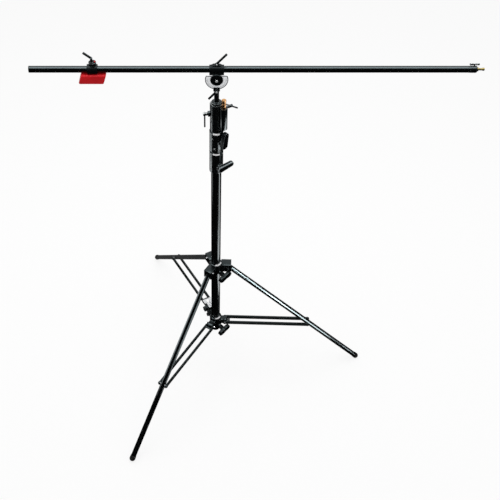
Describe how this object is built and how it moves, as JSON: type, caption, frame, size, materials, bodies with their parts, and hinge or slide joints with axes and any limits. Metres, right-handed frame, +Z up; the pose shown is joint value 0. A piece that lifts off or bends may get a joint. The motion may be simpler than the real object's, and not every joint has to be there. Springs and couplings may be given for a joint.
{
  "type": "boom stand",
  "caption": "Black folding tripod stand with telescopic column, braced legs and a socket head, carrying a tilting and swivelling boom arm with a red sliding counterweight.",
  "frame": {"origin": "bottom centre of the bounding box, on the floor", "axes": "+Z up, +X along the boom towards its long end, -Y towards the viewer's side of the picture"},
  "size_m": [1.4766, 1.172, 1.6701],
  "materials": {
    "black_tube_paint": "gloss black paint on steel tube",
    "black_casting_paint": "semi-gloss black paint on die castings",
    "black_plastic": "satin black plastic",
    "black_rubber": "matt black rubber",
    "bright_steel": "bright plated steel",
    "grey_steel": "grey plated steel",
    "brass": "turned brass",
    "silver_aluminium": "satin silver sheet",
    "red_paint": "gloss red paint on cast iron"
  },
  "bodies": {
    "column": {"base_tube": "black_tube_paint", "base_tube_cap": "black_plastic", "lower_clamp_collar": "black_casting_paint", "brace_collar": "black_casting_paint", "brace_a_pin": "bright_steel", "brace_b_pin": "bright_steel", "level_bar": "bright_steel"},
    "lower_riser": {"lower_riser": "black_tube_paint", "lower_riser_guide": "black_plastic", "upper_clamp_collar": "black_casting_paint"},
    "upper_riser": {"upper_riser": "black_tube_paint", "upper_riser_guide": "black_plastic", "socket_head": "black_casting_paint", "brass_stud": "brass"},
    "lower_clamp_lever": {"lower_clamp_lever": "black_plastic"},
    "upper_clamp_lever": {"upper_clamp_lever": "black_plastic"},
    "socket_tee_right": {"socket_tee_right": "black_casting_paint"},
    "socket_tee_left": {"socket_tee_left": "grey_steel"},
    "leg_collar": {"leg_collar": "black_casting_paint", "leg_a_hinge_pin": "bright_steel", "leg_b_hinge_pin": "bright_steel", "leg_c_hinge_pin": "bright_steel"},
    "leg_a": {"leg_a_tube": "black_tube_paint", "leg_a_foot": "black_rubber", "leg_a_knuckle": "black_casting_paint", "leg_a_cross_bolt": "bright_steel"},
    "leg_b": {"leg_b_tube": "black_tube_paint", "leg_b_foot": "black_rubber", "leg_b_knuckle": "black_casting_paint", "leg_b_cross_bolt": "bright_steel"},
    "leg_c": {"leg_c_tube": "black_tube_paint", "leg_c_foot": "black_rubber", "leg_c_knuckle": "black_casting_paint", "leg_c_cross_bolt": "bright_steel"},
    "brace_a": {"brace_a": "black_tube_paint"},
    "brace_b": {"brace_b": "black_tube_paint"},
    "brace_c": {"brace_c": "black_tube_paint"},
    "level_slider": {"level_slider": "bright_steel", "level_pin": "bright_steel"},
    "level_knob": {"level_knob": "black_plastic"},
    "leg_collar_knob": {"leg_collar_knob": "black_plastic"},
    "brace_collar_knob": {"brace_collar_knob": "black_plastic"},
    "boom_spigot": {"boom_spigot": "black_casting_paint"},
    "swivel_yoke": {"swivel_yoke": "black_casting_paint", "protractor_plate": "silver_aluminium", "tilt_bolt": "bright_steel"},
    "swivel_tee": {"swivel_tee": "black_casting_paint"},
    "boom_clamp": {"boom_clamp": "black_casting_paint", "tilt_disc": "black_casting_paint"},
    "boom_lever": {"boom_lever": "black_casting_paint"},
    "boom": {"boom_tube": "black_tube_paint", "boom_tail_cap": "black_plastic", "boom_end_fitting": "black_casting_paint"},
    "boom_end_wing_screw": {"boom_end_wing_screw": "black_plastic"},
    "boom_end_spigot": {"boom_end_spigot": "brass"},
    "counterweight": {"counterweight": "red_paint", "weight_clamp": "black_casting_paint"},
    "weight_lever": {"weight_lever": "black_plastic"},
    "weight_button": {"weight_button": "red_paint"}
  },
  "joints": [
    {"name": "lower_riser_slide", "type": "slide", "parent": "column", "child": "lower_riser", "axis": [0, 0, 1], "range_m": [0, 0.85]},
    {"name": "upper_riser_slide", "type": "slide", "parent": "lower_riser", "child": "upper_riser", "axis": [0, 0, 1], "range_m": [0, 0.85]},
    {"name": "lower_clamp_lever_turn", "type": "hinge", "parent": "column", "child": "lower_clamp_lever", "pos_m": [-0.11045, -0.04777, 1.202], "axis": [0.5, -0.866, 0], "range_deg": [-40, 70]},
    {"name": "upper_clamp_lever_turn", "type": "hinge", "parent": "lower_riser", "child": "upper_clamp_lever", "pos_m": [-0.10309, -0.04222, 1.3103], "axis": [0.6947, -0.7193, 0], "range_deg": [-70, 70]},
    {"name": "socket_tee_right_turn", "type": "hinge", "parent": "upper_riser", "child": "socket_tee_right", "pos_m": [-0.10337, -0.00003, 1.4356], "axis": [0.866, 0.5, 0], "continuous": true},
    {"name": "socket_tee_left_turn", "type": "hinge", "parent": "upper_riser", "child": "socket_tee_left", "pos_m": [-0.15889, -0.02024, 1.4276], "axis": [-0.9848, -0.1736, 0], "continuous": true},
    {"name": "leg_fold", "type": "slide", "parent": "column", "child": "leg_collar", "axis": [0, 0, 1], "range_m": [0, 0.508]},
    {"name": "leg_a_hinge", "type": "hinge", "parent": "leg_collar", "child": "leg_a", "pos_m": [-0.15553, -0.05597, 0.6334], "axis": [0.8425, -0.5388, 0], "range_deg": [0, 39.17]},
    {"name": "leg_b_hinge", "type": "hinge", "parent": "leg_collar", "child": "leg_b", "pos_m": [-0.0808, -0.01724, 0.6334], "axis": [0.0454, 0.999, 0], "range_deg": [0, 39.17]},
    {"name": "leg_c_hinge", "type": "hinge", "parent": "leg_collar", "child": "leg_c", "pos_m": [-0.15172, 0.02812, 0.6334], "axis": [-0.8878, -0.4602, 0], "range_deg": [0, 29.09]},
    {"name": "brace_a_hinge", "type": "hinge", "parent": "column", "child": "brace_a", "pos_m": [-0.15198, -0.05041, 0.2568], "axis": [-0.8425, 0.5388, 0], "range_deg": [0, 80.17]},
    {"name": "brace_b_hinge", "type": "hinge", "parent": "column", "child": "brace_b", "pos_m": [-0.08739, -0.01694, 0.2568], "axis": [-0.0454, -0.999, 0], "range_deg": [0, 80.17]},
    {"name": "level_slide", "type": "slide", "parent": "column", "child": "level_slider", "axis": [0, 0, 1], "range_m": [-0.01, 0.01]},
    {"name": "brace_c_hinge", "type": "hinge", "parent": "level_slider", "child": "brace_c", "pos_m": [-0.1496, 0.02403, 0.3], "axis": [0.8878, 0.4602, 0], "range_deg": [0, 72.7]},
    {"name": "level_knob_turn", "type": "hinge", "parent": "level_slider", "child": "level_knob", "pos_m": [-0.1496, 0.02403, 0.3], "axis": [-0.8878, -0.4602, 0], "continuous": true},
    {"name": "leg_collar_knob_turn", "type": "hinge", "parent": "leg_collar", "child": "leg_collar_knob", "pos_m": [-0.09721, -0.05333, 0.6094], "axis": [0.6428, -0.766, 0], "continuous": true},
    {"name": "brace_collar_knob_turn", "type": "hinge", "parent": "column", "child": "brace_collar_knob", "pos_m": [-0.09721, -0.05333, 0.2368], "axis": [0.6428, -0.766, 0], "continuous": true},
    {"name": "boom_lift_off", "type": "slide", "parent": "upper_riser", "child": "boom_spigot", "axis": [0, 0, 1], "range_m": [0, 0.075]},
    {"name": "boom_swivel", "type": "hinge", "parent": "boom_spigot", "child": "swivel_yoke", "pos_m": [-0.12935, -0.01503, 1.54], "axis": [0, 0, 1], "continuous": true},
    {"name": "swivel_tee_turn", "type": "hinge", "parent": "swivel_yoke", "child": "swivel_tee", "pos_m": [-0.12935, -0.04603, 1.54], "axis": [0, -1, 0], "range_deg": [-90, 90]},
    {"name": "boom_tilt", "type": "hinge", "parent": "swivel_yoke", "child": "boom_clamp", "pos_m": [-0.12935, -0.01503, 1.5765], "axis": [0, 1, 0], "range_deg": [-45, 45]},
    {"name": "boom_lever_turn", "type": "hinge", "parent": "boom_clamp", "child": "boom_lever", "pos_m": [-0.12935, -0.01503, 1.6225], "axis": [0, 0, 1], "continuous": true},
    {"name": "boom_slide", "type": "slide", "parent": "boom_clamp", "child": "boom", "axis": [1, 0, 0], "range_m": [-0.25, 0.15]},
    {"name": "wing_screw_turn", "type": "hinge", "parent": "boom", "child": "boom_end_wing_screw", "pos_m": [0.70245, -0.01503, 1.621], "axis": [0, 0, 1], "continuous": true},
    {"name": "end_spigot_pull", "type": "slide", "parent": "boom", "child": "boom_end_spigot", "axis": [1, 0, 0], "range_m": [0, 0.03]},
    {"name": "weight_slide", "type": "slide", "parent": "boom", "child": "counterweight", "axis": [1, 0, 0], "range_m": [-0.13, 0.12]},
    {"name": "weight_lever_turn", "type": "hinge", "parent": "counterweight", "child": "weight_lever", "pos_m": [-0.52985, -0.01503, 1.625], "axis": [0, 0, 1], "continuous": true},
    {"name": "weight_button_press", "type": "slide", "parent": "weight_lever", "child": "weight_button", "axis": [0, 0, -1], "range_m": [0, 0.0025], "stiffness_N_per_m": 250, "springref_m": -0.002}
  ],
  "couplings": [
    {"joint": "leg_a_hinge", "follows": "leg_fold", "rad_per_m": 1.3321},
    {"joint": "leg_b_hinge", "follows": "leg_fold", "rad_per_m": 1.3321},
    {"joint": "leg_c_hinge", "follows": "leg_fold", "rad_per_m": 0.98557},
    {"joint": "brace_a_hinge", "follows": "leg_fold", "rad_per_m": 2.7408},
    {"joint": "brace_b_hinge", "follows": "leg_fold", "rad_per_m": 2.7408},
    {"joint": "brace_c_hinge", "follows": "leg_fold", "rad_per_m": 2.4841}
  ]
}
